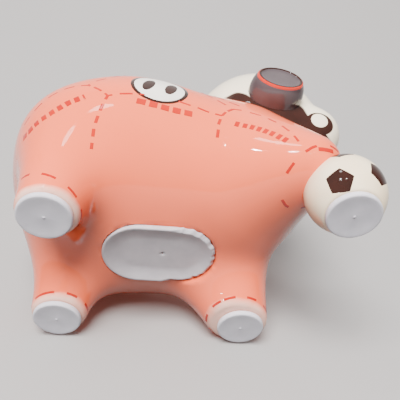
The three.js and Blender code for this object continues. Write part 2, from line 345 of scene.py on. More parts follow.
def noise(tree, place, size_mm, detail=2.0):
    """Noise whose blotches are about size_mm across."""
    return add_node(tree, "ShaderNodeTexNoise", inputs={
        "Vector": place, "Scale": 1 / (size_mm * MM), "Detail": detail}).outputs["Fac"]


def ramp(tree, value, low, high, to_low=0.0, to_high=1.0):
    return add_node(tree, "ShaderNodeMapRange", inputs={
        "Value": value, "From Min": low, "From Max": high, "To Min": to_low, "To Max": to_high}).outputs[0]


def blend_colour(tree, share, one, two):
    return add_node(tree, "ShaderNodeMix", {"data_type": "RGBA"}, {0: share, 6: one, 7: two}).outputs[2]


def maths(tree, operation, *values):
    return add_node(tree, "ShaderNodeMath", {"operation": operation}, dict(enumerate(values))).outputs[0]


def bump(tree, shader, height, depth_mm, strength=1.0):
    node = add_node(tree, "ShaderNodeBump", inputs={"Strength": strength, "Distance": depth_mm * MM,
                                                      "Height": height})
    tree.links.new(node.outputs[0], shader.inputs["Normal"])
    tree.links.new(node.outputs[0], shader.inputs["Coat Normal"])


# %% [markdown]
# ## Glazes
#
# Stoneware colour sits under a clear glaze, so each of these is a soft coloured body with a sharp
# clear coat over it. The coat is what gives the crisp window reflections. Dipped glaze is never
# dead flat: it pools in swells about a thumb wide, and it holds tiny pits, so the reflections
# wobble a little and break up here and there.

# %% glaze swells shared by all glazes
def glaze_surface(tree, shader, place):
    swell = noise(tree, place, 22, 1.0)
    pits = ramp(tree, noise(tree, place, 0.9, 1.0), 0.70, 0.78)
    height = maths(tree, "SUBTRACT", swell, maths(tree, "MULTIPLY", pits, 0.02))
    bump(tree, shader, height, 0.35)


PINK, PINK_WARM, PINK_PALE = linear("#f6714b"), linear("#f06740"), linear("#fbd9c6")


def pink_glaze():
    """Pink airbrushed under clear glaze: thin and pale towards the feet, with soft warm clouds."""
    material, tree, shader, place = new_material("pink_airbrushed_glaze", 0.38, 1.0)
    height = add_node(tree, "ShaderNodeSeparateXYZ", inputs={0: place}).outputs[2]
    ragged = maths(tree, "MULTIPLY", noise(tree, place, 9), 3 * MM)
    fade = ramp(tree, maths(tree, "ADD", height, ragged), 7.0 * MM, 4.2 * MM)
    body = blend_colour(tree, noise(tree, place, 34), PINK, PINK_WARM)
    speck = ramp(tree, noise(tree, place, 1.3, 0.0), 0.72, 0.80, 0.0, 0.35)
    body = blend_colour(tree, speck, body, PINK_WARM)
    body = blend_colour(tree, maths(tree, "MULTIPLY", fade, 0.75), body, PINK_PALE)
    tree.links.new(body, shader.inputs["Base Color"])
    glaze_surface(tree, shader, place)
    return material


def plain_glaze(name, colour, cloudy, roughness=0.35, coat=1.0):
    material, tree, shader, place = new_material(name, roughness, coat)
    share = ramp(tree, noise(tree, place, 14), 0.35, 0.7)
    tree.links.new(blend_colour(tree, share, colour, cloudy), shader.inputs["Base Color"])
    glaze_surface(tree, shader, place)
    return material


PINK_GLAZE = pink_glaze()
IVORY_GLAZE = plain_glaze("ivory_glaze", linear("#fdeacb"), linear("#f5ddba"))
BLACK_GLAZE = plain_glaze("black_brushed_glaze", linear("#26120d"), linear("#351a12"))
SILVER_GLAZE = plain_glaze("silver_grey_glaze", linear("#51474a"), linear("#463d40"), 0.3)
RED_GLAZE = plain_glaze("red_brushed_glaze", linear("#b3170a"), linear("#bf2a16"))
RING_RED = plain_glaze("dark_red_glaze", linear("#c02c1c"), linear("#cf3d2a"))
WHITE_PAINT = plain_glaze("white_brushed_glaze", linear("#f4efe8"), linear("#e9e2da"))
print("glazes:", [m.name for m in bpy.data.materials if "glaze" in m.name])

# %% [markdown]
# ## Torso and legs
#
# One casting: trunk and four legs leave the mould together. The shell is really hollow, with the
# coin slot cut through the back while the clay is leather hard and the plug hole cut in the belly.

# %% torso
CELL = 1.45
torso_points, torso_faces = surface_net(torso_shell, v(-34, -67, 0), v(124, 67, 114), CELL)
torso = add_object("torso", torso_points, torso_faces, PINK_GLAZE)
keep_edges_over(torso, 40)
declare(torso, "pink_glaze", "torso_casting")
print("torso:", len(torso_faces), "faces")

# %% [markdown]
# ## Head
#
# A nearly round casting, turned to the pig's right and luted on top of the shoulder. The hidden
# side is cut to the shoulder's form. It is white with black brushed patches: one under the chin
# and cheeks, and a white oval ringed in black. The patches are painted by distance from a few
# chosen centres, which gives the smooth closed outlines of a loaded brush.

# %% head form
HEAD_MID, HEAD_HALF = v(95, -14.5, 92.5), v(38.5, 40.5, 41)
CHEEK_RADIUS, CHEEK_MELT = 15, 8
NECK_BURY = 1.6      # how deep the cut edge of the head lies under the skin of the shoulder
CHEEKS = [HEAD_MID + v(side * 25.5, -17.5, -14) for side in (-1, 1)]


def head_rule(p):
    distance = ellipsoid(p, HEAD_MID, HEAD_HALF)
    for cheek in CHEEKS:
        distance = melt(distance, ball_form(p, cheek, CHEEK_RADIUS), CHEEK_MELT)
    return distance


def head_shell(p):
    return np.maximum(head_rule(p), -(torso_rule(p) + NECK_BURY))


# %% head paint
def patch_distance(tree, place, middle_mm, half_mm):
    """How far a place is outside an ellipsoid of paint, in units of its half sizes."""
    middle = placed(middle_mm)
    moved = add_node(tree, "ShaderNodeVectorMath", {"operation": "SUBTRACT"}, {0: place, 1: tuple(middle)})
    scaled = add_node(tree, "ShaderNodeVectorMath", {"operation": "DIVIDE"},
                      {0: moved.outputs[0], 1: tuple(h * MM for h in half_mm)})
    length = add_node(tree, "ShaderNodeVectorMath", {"operation": "LENGTH"}, {0: scaled.outputs[0]})
    return maths(tree, "SUBTRACT", length.outputs["Value"], 1.0)


CHIN_PATCHES = [((-3, -23, -14), (29, 14.5, 28)), ((14, -8, -33.5), (25, 25, 25))]
CROWN_PATCHES = [((20, 22, 30), (19, 20, 17)), ((-30, 14, 20), (15, 17, 15))]
OVAL_RING = ((25.8, -29.0, -21.4), (7.6, 6.0, 6.4))
OVAL_WHITE = ((25.7, -30.6, -20.6), (4.4, 3.4, 4.2))


def white_glaze_with_patches():
    material, tree, shader, place = new_material("white_glaze_with_black_patches", 0.35, 1.0)
    wobble = maths(tree, "MULTIPLY", maths(tree, "SUBTRACT", noise(tree, place, 12, 1.0), 0.5), 0.18)

    def union(patches, shake=True):
        nearest = None
        for middle, half in patches:
            d = patch_distance(tree, place, HEAD_MID + v(*middle), half)
            nearest = d if nearest is None else maths(tree, "SMOOTH_MIN", nearest, d, 0.2)
        return maths(tree, "ADD", nearest, wobble) if shake else nearest

    black = ramp(tree, union(CHIN_PATCHES + CROWN_PATCHES), 0.012, -0.012)
    black = maths(tree, "MAXIMUM", black, ramp(tree, union([OVAL_RING], False), 0.03, -0.03))
    black = maths(tree, "SUBTRACT", black, ramp(tree, union([OVAL_WHITE], False), 0.03, -0.03))
    ground = blend_colour(tree, noise(tree, place, 18), linear("#f9eed6"), linear("#f1e3c8"))
    paint = blend_colour(tree, noise(tree, place, 6), linear("#26120d"), linear("#381c14"))
    tree.links.new(blend_colour(tree, black, ground, paint), shader.inputs["Base Color"])
    glaze_surface(tree, shader, place)
    return material


WHITE_GLAZE = white_glaze_with_patches()
head_points, head_faces = surface_net(head_shell, head_low - 4, head_high + 4, CELL)
head = add_object("head", head_points, head_faces, WHITE_GLAZE)
keep_edges_over(head, 40)
declare(head, "white_glaze", "head_casting")
print("head:", len(head_faces), "faces, middle", HEAD_MID.round(1))

# %% [markdown]
# ## Turned pieces
#
# The snout and the pads are shapes of revolution. One function turns a profile of (radius, height)
# points round any axis; the profile starts and ends on the axis, so the pole is one point and the
# piece is closed.

# %% turning
def turned(name, profile, start, towards, material, sides=96, flat=1.0):
    """Turns a profile round the line from start to towards; flat squeezes it into an oval."""
    axis = (towards - start) / np.linalg.norm(towards - start)
    across = np.cross(axis, v(0, 0, 1) if abs(axis[2]) < 0.9 else v(0, 1, 0))
    across /= np.linalg.norm(across)
    third = np.cross(axis, across) * flat
    points, rows = [], []
    for radius, height in profile:
        centre = start + axis * height
        if radius == 0:
            rows.append([len(points)] * sides)
            points.append(centre)
            continue
        rows.append(list(range(len(points), len(points) + sides)))
        for k in range(sides):
            turn = 2 * math.pi * k / sides
            points.append(centre + radius * (math.cos(turn) * across + math.sin(turn) * third))
    faces, bands = [], []
    for band, (low, high) in enumerate(zip(rows, rows[1:])):
        for k in range(sides):
            n = (k + 1) % sides
            ring = list(dict.fromkeys([low[k], low[n], high[n], high[k]]))
            faces.append(ring)
            bands.append(band)
    piece = add_object(name, points, faces, material)
    tidy_normals(piece)
    return piece, bands


def tidy_normals(piece):
    work = bmesh.new()
    work.from_mesh(piece.data)
    bmesh.ops.recalc_face_normals(work, faces=work.faces)
    work.to_mesh(piece.data)
    work.free()


def arc(centre, radius, start_degrees, end_degrees, steps):
    """Points along a circle, for the rounded corners of a profile."""
    angles = np.radians(np.linspace(start_degrees, end_degrees, steps + 1))
    return [(centre[0] + radius * math.cos(a), centre[1] + radius * math.sin(a)) for a in angles]


# %% [markdown]
# ## Snout
#
# A short oval drum of clay, painted silver grey, with a red line brushed round its rim. Just inside it,
# where the lip turns down into the shallow dish of the face, a black band is painted shade that stands in
# for the shadow of that dip. Both are bands of the same surface, so they can't peel away from it.

# %% snout
SNOUT_AIM = v(0.09, -1, -0.1) / np.linalg.norm(v(0.09, -1, -0.1))
SNOUT_BASE = HEAD_MID + v(2.8, -35, -9.6)
SNOUT_LENGTH, SNOUT_WIDE, SNOUT_TIP, SNOUT_FLAT = 12.5, 13.8, 11.9, 0.82
drum = [(0, -8), (SNOUT_WIDE, -8), (SNOUT_WIDE, 1), (13.9, 3.5), (13.8, 5.5), (13.5, 7.2), (13.1, 8.8),
        (12.5, 10.2), (12.1, 10.9)]
lip = arc((SNOUT_TIP - 1.3, SNOUT_LENGTH - 1.3), 1.3, 0, 100, 9)
dish = [(10.0, 12.1), (9.5, 11.75), (8.8, 11.6), (6, 11.55), (0, 11.6)]
snout, snout_bands = turned(
    "snout", drum + lip + dish, SNOUT_BASE, SNOUT_BASE + SNOUT_AIM, SILVER_GLAZE, 120, SNOUT_FLAT)
RED_BAND = range(len(drum), len(drum) + 6)
# The black band inside the red one is painted shade: black where the lip turns down into the dish.
SHADE_BAND = range(len(drum) + 6, len(drum) + 10)
snout.data.materials.append(RING_RED)
snout.data.materials.append(BLACK_GLAZE)
for polygon, band in zip(snout.data.polygons, snout_bands):
    polygon.material_index = 1 if band in RED_BAND else 2 if band in SHADE_BAND else 0
declare(snout, "silver_glaze", "snout")

# %% [markdown]
# ## Ball
#
# The ball under the front foot is painted like a stitched one: black pentagons on ivory. Twelve
# pentagons sit at the corners of an icosahedron. Each of its twenty triangles is cut into small
# ones whose rows run parallel to its sides, so the edge of a pentagon is a straight row and comes
# out crisp. Then every point is pushed out to the sphere.

# %% ball
BALL_RADIUS = (ball_high - ball_low)[0] / 2
BALL_MID = v(ball_mid[0], ball_mid[1], ball_high[2] - BALL_RADIUS)
ROWS, PENTAGON_ROWS = 28, 9
FACING = v(-0.467, -0.729, -0.493)     # direction of the pentagon that faces out and down
NEIGHBOUR = v(0.83, -0.56, 0.01)   # roughly where its forward neighbour lies



def icosahedron():
    work = bmesh.new()
    bmesh.ops.create_icosphere(work, subdivisions=1, radius=1)
    corners = np.array([list(vert.co) for vert in work.verts])
    triangles = [[vert.index for vert in f.verts] for f in work.faces]
    work.free()
    return corners / np.linalg.norm(corners, axis=1, keepdims=True), triangles


def turn_to(corners, facing, neighbour):
    """Turns the corners so that the first one points to facing and one next to it near neighbour."""
    def basis(a, b):
        a = a / np.linalg.norm(a)
        b = b - a * (a @ b)
        b = b / np.linalg.norm(b)
        return np.stack([a, b, np.cross(a, b)], 1)
    near = corners[np.argsort(-(corners @ corners[0]))[1]]
    return corners @ (basis(facing, neighbour) @ basis(corners[0], near).T).T


def painted_ball():
    corners, triangles = icosahedron()
    corners = turn_to(corners, FACING, NEIGHBOUR)
    # The two spots next to the ankle stay bare: a brush doesn't reach in there.
    bare = [k for k, corner in enumerate(corners) if corner @ FACING > 0.2 and corner @ NEIGHBOUR < -0.5]
    points, faces, black = [], [], []
    for a, b, c in triangles:
        start = len(points)
        index = {}
        for i in range(ROWS + 1):
            for j in range(ROWS + 1 - i):
                index[i, j] = start + len(index)
                p = (corners[a] * (ROWS - i - j) + corners[b] * i + corners[c] * j) / ROWS
                points.append(BALL_MID + p / np.linalg.norm(p) * BALL_RADIUS)
        for i in range(ROWS):
            for j in range(ROWS - i):
                cells = [((i, j), (i + 1, j), (i, j + 1))]
                if i + j < ROWS - 1:
                    cells.append(((i + 1, j), (i + 1, j + 1), (i, j + 1)))
                for cell in cells:
                    mean = np.mean([(ROWS - x - y, x, y) for x, y in cell], 0)
                    faces.append([index[key] for key in cell])
                    nearest = (a, b, c)[int(mean.argmax())]
                    black.append(mean.max() > ROWS - PENTAGON_ROWS and nearest not in bare)
    points = np.array(points)
    points[:, 2] = np.maximum(points[:, 2], SOLE - 0.25)
    piece = add_object("ball", points, faces, IVORY_GLAZE)
    piece.data.materials.append(BLACK_GLAZE)
    piece.data.polygons.foreach_set("material_index", [int(b) for b in black])
    work = bmesh.new()
    work.from_mesh(piece.data)
    bmesh.ops.remove_doubles(work, verts=work.verts, dist=0.02 * MM)
    bmesh.ops.recalc_face_normals(work, faces=work.faces)
    work.to_mesh(piece.data)
    work.free()
    return piece


ball = painted_ball()
declare(ball, "ivory_glaze", "ball_casting")
print("ball:", len(ball.data.polygons), "faces")

# %% [markdown]
# ## Foot pads
#
# Soft white pads, moulded and glued under the feet so that the glaze doesn't scratch the table.
# They show a rounded rim, a face that is a touch hollow, and a small nib where the plastic ran in.

# %% soft plastic
def soft_plastic(name, colour, cloudy):
    """Moulded soft PVC: milky, satin, with a fine grain from the mould."""
    material, tree, shader, place = new_material(name, 0.42, 0.15, 1.46, 0.3)
    share = ramp(tree, noise(tree, place, 7), 0.35, 0.7)
    tree.links.new(blend_colour(tree, share, colour, cloudy), shader.inputs["Base Color"])
    shader.inputs["Subsurface Weight"].default_value = 0.25
    shader.inputs["Subsurface Radius"].default_value = (1.0, 0.9, 0.85)
    shader.inputs["Subsurface Scale"].default_value = 1.2 * MM
    grain = noise(tree, place, 0.7)
    height = maths(tree, "ADD", maths(tree, "MULTIPLY", grain, 0.25), noise(tree, place, 9, 1.0))
    bump(tree, shader, height, 0.12)
    return material


PAD_PLASTIC = soft_plastic("soft_white_pad", linear("#d6d2da"), linear("#ccc9d1"))
PLUG_PLASTIC = soft_plastic("soft_white_plug", linear("#beb8bc"), linear("#b3adb2"))


# %% pads
def pad(name, node):
    low, high, middle = own_box(node)
    radius, thick = (high - low)[0] / 2, (high - low)[2]
    nib = [(0, 0.1), (0.35, 0.1), (0.55, 0.3), (0.9, 0.34), (radius * 0.5, 0.3), (radius * 0.8, 0.16)]
    rim_low = arc((radius - 0.9, 0.9), 0.9, -90, 0, 7)
    rim_high = arc((radius - 0.6, thick - 0.6), 0.6, 0, 90, 5)
    profile = nib + rim_low + rim_high + [(0, thick)]
    ground = v(middle[0], middle[1], low[2])
    piece, _ = turned(name, profile, ground, ground + v(0, 0, 1), PAD_PLASTIC, 80)
    declare(piece, "foot_pad", node)
    return piece


for where in ("rear_right", "rear_left", "front_left"):
    pad("pad_" + where, "foot_pad_" + where)
pad("pad_ball", "ball_pad")

# %% [markdown]
# ## Belly plug
#
# A soft stopper with a thin wide flange, a dished face and a neck that grips the hole. It is a rule
# like the torso: everything is measured inwards from an outline with round ends. The front edge was
# torn off its sprue, so waves of random phase eat a little way into it.

# %% plug
def waves(value, seed, count=9, slowest=2.0, fastest=11.0):
    """A sum of sine waves with fixed random phases, about -1 to 1: a cheap ragged line."""
    rng = np.random.default_rng(seed)
    speeds, phases = rng.uniform(slowest, fastest, count), rng.uniform(0, 2 * math.pi, count)
    return sum(np.sin(value * k + f) for k, f in zip(speeds, phases)) / math.sqrt(count)


NOTCH_TURN, NOTCH_DEPTH = 0.64, 0.8      # where round the edge one flake is missing, and how deep
DISH_DEPTH, RIM_WIDTH, DISH_WIDTH = 1.9, 0.9, 7.5


def plug_rule(p):
    """The flange's edge is torn only round the front; thin raises the skin left standing there."""
    inside = -round_ended(p, plug_mid, PLUG_LENGTH, PLUG_WIDTH)
    height = p[..., 2] - PLUG_FACE
    turn = np.arctan2(p[..., 1] - plug_mid[1], p[..., 0] - plug_mid[0])
    front = np.clip((1.35 - np.abs(turn - 0.1)) / 0.25, 0, 1)
    ragged = np.clip(waves(turn * 5.0, 3) + 0.35 * waves(turn * 14.0, 5), -1.2, 1.6)
    tear = front * (0.25 + 0.28 * ragged) + NOTCH_DEPTH * np.exp(-((turn - NOTCH_TURN) / 0.05) ** 2)
    thin = front * np.clip(1.15 - (inside - tear) / 1.9, 0, 1) * 1.3
    dish = DISH_DEPTH * np.sin(np.clip((inside - RIM_WIDTH) / DISH_WIDTH, 0, 1) * math.pi / 2)
    pit = 0.5 * np.exp(-((p[..., 0] - plug_mid[0] - 1.5) ** 2 + (p[..., 1] - plug_mid[1]) ** 2) / 0.8)
    face = np.maximum(dish, thin) + pit - height
    flange = -melt(melt(inside - np.maximum(tear, 0), -face, 1.0), FLANGE - height, 0.8)
    outer, inner = inside - NECK_INSET, inside - NECK_INSET - NECK_WALL
    neck = -melt(melt(outer, -inner, 0.8), FLANGE + NECK_DEPTH - height, 1.0)
    neck = np.maximum(neck, FLANGE - 0.8 - height)
    return np.minimum(flange, neck)


NECK_INSET = (PLUG_WIDTH - HOLE_WIDTH) / 2 + 0.35
NECK_WALL, NECK_DEPTH = 2.2, 9.5


PLUG_CELL = 0.42
plug_points, plug_faces = surface_net(plug_rule, plug_low - 1, plug_high + 1, PLUG_CELL)
plug = add_object("plug", plug_points, plug_faces, PLUG_PLASTIC)
keep_edges_over(plug, 60)
declare(plug, "soft_plug", "belly_plug", body="plug")

# %% [markdown]
# ## Ears and tail
#
# The ears are pressed leaves of clay, hollowed by a thumb and leaning back from the crown. The tail
# is a rolled worm of clay, thinner at its tip, curled and pressed on.

# %% ears
EAR_ROOT_BURY = 1.5      # how deep an ear's root lies under the skin of the head, in mm


def ear_shape(side):
    low, high, _ = own_box("ear_left" if side > 0 else "ear_right")
    root = HEAD_MID + v(side * 17, 8, 33)
    tip = v(high[0] - 2 if side > 0 else low[0] + 2, high[1] - 2.5, high[2] - 1)
    up = (tip - root) / np.linalg.norm(tip - root)
    wide = np.cross(v(0, -1, 0.3), up)
    wide /= np.linalg.norm(wide)
    thick = np.cross(up, wide)
    length = np.linalg.norm(tip - root)

    def rule(p):
        q = p - root
        x, y, z = q @ wide, q @ thick, q @ up
        share = np.clip(z / length, -0.3, 1.0)
        bend = 2.2 * np.sin(share * 2.6)
        width = 10.5 * np.sqrt(np.clip(1 - share, 0, 1)) * (0.8 + 0.4 * np.clip(1 - share, 0, 1)) + 0.8
        y = y - bend * 0.4
        leaf = 2.0 * (np.hypot(x / width, y / 2.6) - 1)
        thumb = ellipsoid(np.stack([x, y, z], -1), v(0, -4.2, length * 0.42), v(6.6, 3.4, length * 0.46))
        body = carve(np.maximum(leaf, z - length), thumb, 2.0)
        return np.maximum(body, -(head_rule(p) + EAR_ROOT_BURY))
    return rule, low - 3, high + 3


for side, name in ((1, "ear_left"), (-1, "ear_right")):
    rule, low, high = ear_shape(side)
    points, faces = surface_net(rule, low, high, 0.9)
    ear = add_object(name + "_leaf", points, faces, WHITE_GLAZE)
    declare(ear, "white_glaze", name)

# %% tail
def tail_curl():
    low, high, middle = own_box("tail")
    path = [
        v(high[0] - 2, 0, low[2] + 2.6), v(high[0] - 8, -0.4, low[2] + 3.2),
        v(low[0] + 3.3, 3.4, middle[2] + 0.5), v(low[0] + 3.6, 8.4, high[2] - 2.8),
        v(low[0] + 5.2, high[1] - 2.7, middle[2] - 0.5)]
    data = bpy.data.curves.new("tail_path", "CURVE")
    data.dimensions = "3D"
    data.resolution_u = 14
    data.bevel_depth = 1.0
    data.bevel_resolution = 7
    data.use_fill_caps = True
    spline = data.splines.new("BEZIER")
    spline.bezier_points.add(len(path) - 1)
    for index, (point, place) in enumerate(zip(spline.bezier_points, path)):
        point.co = Vector(placed(place))
        point.handle_left_type = point.handle_right_type = "AUTO"
        point.radius = (3.0 - 0.42 * index) * MM
    holder = bpy.data.objects.new("tail_holder", data)
    bpy.context.scene.collection.objects.link(holder)
    bpy.context.view_layer.update()
    mesh = bpy.data.meshes.new_from_object(holder.evaluated_get(bpy.context.evaluated_depsgraph_get()))
    bpy.data.objects.remove(holder)
    piece = bpy.data.objects.new("tail_curl", mesh)
    bpy.context.scene.collection.objects.link(piece)
    mesh.materials.clear()
    mesh.materials.append(PINK_GLAZE)
    mesh.polygons.foreach_set("use_smooth", [True] * len(mesh.polygons))
    tidy_normals(piece)
    return piece


tail = tail_curl()
declare(tail, "pink_glaze", "tail")

# %% [markdown]
# ## Brushed lines
#
# A butcher's chart is drawn on the pig: dashed red lines along the flank and a ring of dashes round
# each ankle. Every dash is a thin lens of paint that lies on the skin. Geometry Nodes make them: the
# tree takes a line, cuts it into dashes, looks up the skin's direction below each point and sweeps a
# flat oval along it. Changing one input changes every dash.

# %% finding the skin
def on_flank(x, degrees, side=-1):
    """The point of the skin at x, seen from the trunk's middle line at an angle above level."""
    a = math.radians(degrees)
    aim = v(0, side * math.cos(a), math.sin(a))
    reach = np.arange(20, 90, 0.5)
    heart = v(x, 0, TRUNK_MID[2])
    inside = torso_rule(heart + aim * reach[:, None]) < 0
    far = reach[np.nonzero(inside)[0].max()]
    return settle(torso_rule, (heart + aim * far)[None])[0]


def flank_line(marks, side=-1, step=1.0):
    """A smooth line over the skin through chosen (x, angle) marks."""
    marks = np.array(marks, float)
    lengths = np.r_[0, np.cumsum(np.hypot(np.diff(marks[:, 0]), np.diff(marks[:, 1])))]
    wanted = np.linspace(0, lengths[-1], max(int(lengths[-1] / step), 3))
    across, angles = (np.interp(wanted, lengths, marks[:, k]) for k in (0, 1))
    return [on_flank(x, degrees, side) for x, degrees in zip(across, angles)]


# %% the lines themselves
# Each line: marks as (x, angle above level), dash, gap and the length of its first dash, in mm.
THIGH, LOIN, SHOULDER, NECK = (18.0, -10.3), (8.0, -1.8), (68.5, -13.4), (73.6, -7.7)
CHART = [
    ([THIGH, (16.6, -14.8), (15.3, -20.9), (14.2, -26.9), (14.2, -36.9)], 4.1, 2.4, 2.5, 1.45),
    ([THIGH, (14.9, -7.2), (11, -3.9), LOIN], 5.2, 2.0, 2.4, 1.1),
    ([LOIN, (11, 2.3), (15.4, 5.1), (22, 12), (26, 24)], 5.2, 3.4, 1.5, 1.0),
    ([LOIN, (2.8, -0.9), (-2.1, -1.2), (-8.3, -4.0), (-12.6, -8.2), (-19, -16)], 5.2, 3.0, 3.3, 1.0),
    ([THIGH, (22.6, -8.9), (31.7, -7.9), (40, -7.5), (49, -7.9), (57.3, -9.4), (62.8, -11.7), SHOULDER],
     5.9, 2.8, 2.4, 1.05),
    ([(67.7, -15.8), (66.7, -19.3), (66.8, -21.7), (66.3, -26.8)], 4.4, 2.3, 3.6, 1.45),
    ([SHOULDER, (70.2, -10.6), NECK], 3.6, 1.1, 3.3, 1.3),
    ([NECK, (77.9, -7.8), (82.9, -9.9), (87.2, -12), (92.8, -18.4), (96.9, -25.5), (99, -30.4)],
     5.4, 3.7, 4.2, 1.0),
    ([(70.6, -3.9), (66.9, 0.9), (62, 8), (58, 20)], 6.0, 3.0, 6.0, 1.0),
    ([(77, -3.4), (72.3, 0.4), (68, 8), (65, 20)], 6.0, 3.0, 6.0, 1.0),
]
WORDS = [
    ([(-16.8, -28.4), (-10.2, -22.1), (-4.4, -18.0), (1.7, -13.7), (8.2, -10.6)], 2.9, 1.1, 2.9, 3.6),
    ([(30.6, -12.0), (39.0, -13.0), (43.9, -13.6), (49.7, -14.0), (56.8, -14.3)], 4.1, 1.2, 4.1, 3.4),
    ([(74.0, -18.2), (80.4, -20.3), (85.3, -22.7), (89.6, -25.5), (95.6, -30.4)], 2.4, 0.9, 2.4, 3.0),
]


def ankle_ring(middle, lean, start_degrees):
    """A closed line where a leaning plane through middle cuts the leg; lean is its rise along x and y."""
    ring = []
    for k in range(90):
        turn = math.radians(start_degrees + 4 * k)
        x, y = math.cos(turn), math.sin(turn)
        aim = v(x, y, lean[0] * x + lean[1] * y)
        reach = np.arange(2, 30, 0.2)
        outside = torso_rule(middle + aim * reach[:, None]) > 0
        ring.append(middle + aim * reach[int(np.argmax(outside))])
    return settle(torso_rule, np.array(ring))


rear_x, rear_y = LEGS["rear_right"][1][:2]
ring_lines = [
    (ankle_ring(v(rear_x, rear_y, 9.5), (-0.3, -0.05), -97), 5.6, 5.3, 5.6, 1.15),
    (ankle_ring(v(rear_x, -rear_y, 5.6), (0, 0.02), -119), 5.6, 5.3, 5.6, 1.15),
    (ankle_ring(v(*front_pad[2][:2], 5.0), (0.08, -0.04), -123), 5.6, 5.3, 5.6, 1.15),
    (ankle_ring(v(104.5, -41.5, 20.8), (0.27, -0.23), 209)[:80], 5.6, 5.95, 5.6, 1.25),
]
chart_lines = [(flank_line(marks, side), *rhythm) for side in (-1, 1) for marks, *rhythm in CHART]
word_lines = [(flank_line(marks), *rhythm) for marks, *rhythm in WORDS]
print("chart lines:", len(chart_lines), "rings:", len(ring_lines), "word rows:", len(word_lines))


# %% the dash tree
def dash_tree():
    tree = bpy.data.node_groups.new("brushed dashes", "GeometryNodeTree")
    sockets = tree.interface
    sockets.new_socket("Geometry", in_out="INPUT", socket_type="NodeSocketGeometry")
    sockets.new_socket("Skin", in_out="INPUT", socket_type="NodeSocketObject")
    sizes = {"Thickness share": 0.1, "Lift": 0.015 * MM, "Unevenness": 0.3, "Blotch": 3 * MM}
    for title, value in sizes.items():
        socket = sockets.new_socket(title, in_out="INPUT", socket_type="NodeSocketFloat")
        socket.default_value = value
    sockets.new_socket("Paint", in_out="INPUT", socket_type="NodeSocketMaterial")
    sockets.new_socket("Geometry", in_out="OUTPUT", socket_type="NodeSocketGeometry")
    given = tree.nodes.new("NodeGroupInput").outputs

    def stored(name):
        return add_node(tree, "GeometryNodeInputNamedAttribute", inputs={"Name": name}).outputs["Attribute"]

    line = add_node(tree, "GeometryNodeMeshToCurve", inputs={0: given["Geometry"]}).outputs[0]
    line = add_node(tree, "GeometryNodeResampleCurve", {"mode": "LENGTH"}, {
        "Curve": line, "Length": 0.4 * MM})
    keep = tree.nodes.new("GeometryNodeCaptureAttribute")
    keep.capture_items.new("FLOAT", "along")
    tree.links.new(line.outputs[0], keep.inputs[0])
    tree.links.new(tree.nodes.new("GeometryNodeSplineParameter").outputs["Length"], keep.inputs[1])
    edges = add_node(tree, "GeometryNodeCurveToMesh", inputs={0: keep.outputs[0]}).outputs[0]
    pitch = maths(tree, "ADD", stored("dash"), stored("gap"))
    phase = maths(tree, "MODULO", maths(tree, "ADD", keep.outputs[1], stored("start")), pitch)
    in_gap = maths(tree, "GREATER_THAN", phase, stored("dash"))
    cut = add_node(tree, "GeometryNodeDeleteGeometry", inputs={0: edges, 1: in_gap}).outputs[0]
    dashes = add_node(tree, "GeometryNodeMeshToCurve", inputs={0: cut}).outputs[0]
    skin = add_node(tree, "GeometryNodeObjectInfo", inputs={"Object": given["Skin"]}).outputs["Geometry"]
    here = tree.nodes.new("GeometryNodeInputPosition").outputs[0]
    skin_normal = tree.nodes.new("GeometryNodeInputNormal").outputs[0]
    sample = add_node(tree, "GeometryNodeSampleNearestSurface", {"data_type": "FLOAT_VECTOR"}, {
        "Mesh": skin, "Value": skin_normal, "Sample Position": here})
    facing = sample.outputs["Value"]
    turned_up = add_node(tree, "GeometryNodeSetCurveNormal", {"mode": "FREE"}, {
        "Curve": dashes, "Normal": facing})
    lift = add_node(tree, "ShaderNodeVectorMath", {"operation": "SCALE"}, {
        0: facing, "Scale": given["Lift"]})
    raised = add_node(tree, "GeometryNodeSetPosition", inputs={
        "Geometry": turned_up.outputs[0], "Offset": lift.outputs[0]}).outputs[0]
    blotch = add_node(tree, "ShaderNodeTexNoise", inputs={
        "Vector": here, "Scale": maths(tree, "DIVIDE", 1.0, given["Blotch"])}).outputs["Fac"]
    press = maths(tree, "MULTIPLY", maths(tree, "SUBTRACT", blotch, 0.5), given["Unevenness"])
    width = maths(tree, "MULTIPLY", stored("width"), maths(tree, "ADD", press, 1.0))
    oval = add_node(tree, "GeometryNodeCurvePrimitiveCircle", inputs={
        "Resolution": 14, "Radius": 0.5}).outputs[0]
    size = add_node(tree, "ShaderNodeCombineXYZ", inputs={0: given["Thickness share"], 1: 1.0, 2: 1.0})
    brush = add_node(tree, "GeometryNodeTransform", inputs={
        "Geometry": oval, "Scale": size.outputs[0]}).outputs[0]
    swept = add_node(tree, "GeometryNodeCurveToMesh", inputs={
        "Curve": raised, "Profile Curve": brush, "Scale": width, "Fill Caps": True}).outputs[0]
    painted = add_node(tree, "GeometryNodeSetMaterial", inputs={
        "Geometry": swept, "Material": given["Paint"]})
    solid = add_node(tree, "GeometryNodeRealizeInstances", inputs={0: painted.outputs[0]}).outputs[0]
    add_node(tree, "NodeGroupOutput", inputs={0: solid})
    return tree


DASHES = dash_tree()


